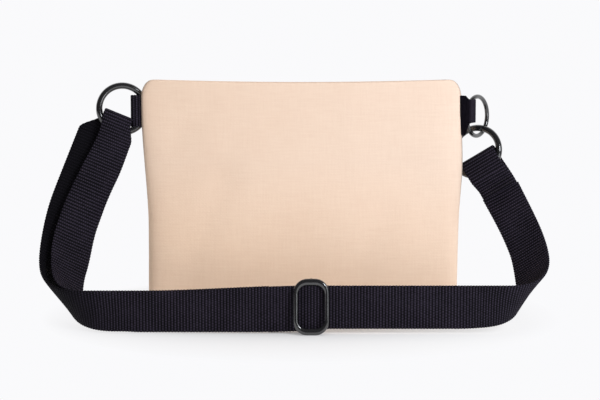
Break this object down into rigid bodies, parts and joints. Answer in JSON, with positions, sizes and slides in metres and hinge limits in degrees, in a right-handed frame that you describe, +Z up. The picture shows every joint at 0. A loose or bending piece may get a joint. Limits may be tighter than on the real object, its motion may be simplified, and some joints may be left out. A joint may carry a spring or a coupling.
{
  "type": "belt bag",
  "caption": "Small flat canvas waist pouch with a recessed top zip, metal rings at its sides and an adjustable webbing belt that runs through a sliding buckle.",
  "frame": {"origin": "centre of the flat base, on the surface that the bag stands on", "axes": "+X along the bag's width towards the linked rings, +Y from the front face to the back, +Z up"},
  "size_m": [0.3204, 0.0985, 0.1525],
  "materials": {
    "canvas": "matt woven canvas",
    "lining": "plain woven lining",
    "webbing": "ribbed matt webbing",
    "zip_tape": "woven zip tape with moulded teeth",
    "hardware": "polished black plating",
    "zip_metal": "satin black plating"
  },
  "bodies": {
    "bag": {"front_panel": "canvas", "back_panel": "canvas", "base_panel": "canvas", "lining_front": "lining", "lining_back": "lining", "zip_tape_front": "zip_tape", "zip_tape_back": "zip_tape", "zip_top_stop_front": "zip_metal", "zip_top_stop_back": "zip_metal", "zip_bottom_stop": "zip_metal", "zip_end_left": "canvas", "zip_end_right": "canvas", "tab_left": "webbing", "tab_right": "webbing", "strap_front_run": "webbing", "strap_inner_run": "webbing", "strap_right_side": "webbing", "strap_left_inner": "webbing", "strap_left_outer": "webbing"},
    "zip_slider": {"zip_slider": "zip_metal"},
    "zip_pull": {"zip_pull": "zip_metal"},
    "left_ring": {"ring_left": "hardware", "strap_left_fold": "webbing"},
    "right_ring": {"ring_right": "hardware"},
    "strap_ring": {"strap_ring": "hardware", "strap_end_loop": "webbing"},
    "strap_slider": {"strap_slider": "hardware", "strap_slider_loop": "webbing"}
  },
  "joints": [
    {"name": "zip_slide", "type": "slide", "parent": "bag", "child": "zip_slider", "axis": [-1, 0, 0], "range_m": [0, 0.13], "deforming": ["zip_tape_front", "zip_tape_back"]},
    {"name": "zip_pull_lift", "type": "hinge", "parent": "zip_slider", "child": "zip_pull", "pos_m": [0.0615, 0, 0.1465], "axis": [0, 1, 0], "range_deg": [0, 150]},
    {"name": "left_ring_swing", "type": "hinge", "parent": "bag", "child": "left_ring", "pos_m": [-0.10283, 0.00575, 0.1335], "axis": [-0.0343, 0.1474, 0.9885], "range_deg": [-15, 15], "deforming": ["strap_left_inner", "strap_left_outer"]},
    {"name": "right_ring_swing", "type": "hinge", "parent": "bag", "child": "right_ring", "pos_m": [0.10787, 0.00382, 0.1282], "axis": [0, 0, 1], "range_deg": [-12, 12]},
    {"name": "strap_ring_swing", "type": "hinge", "parent": "bag", "child": "strap_ring", "pos_m": [0.116, 0.01325, 0.12052], "axis": [-0.882, 0.4712, 0], "range_deg": [-12, 10], "deforming": ["strap_right_side"]},
    {"name": "strap_length_slide", "type": "slide", "parent": "bag", "child": "strap_slider", "axis": [1, 0, 0], "range_m": [-0.08, 0.085], "deforming": ["strap_inner_run"]}
  ]
}
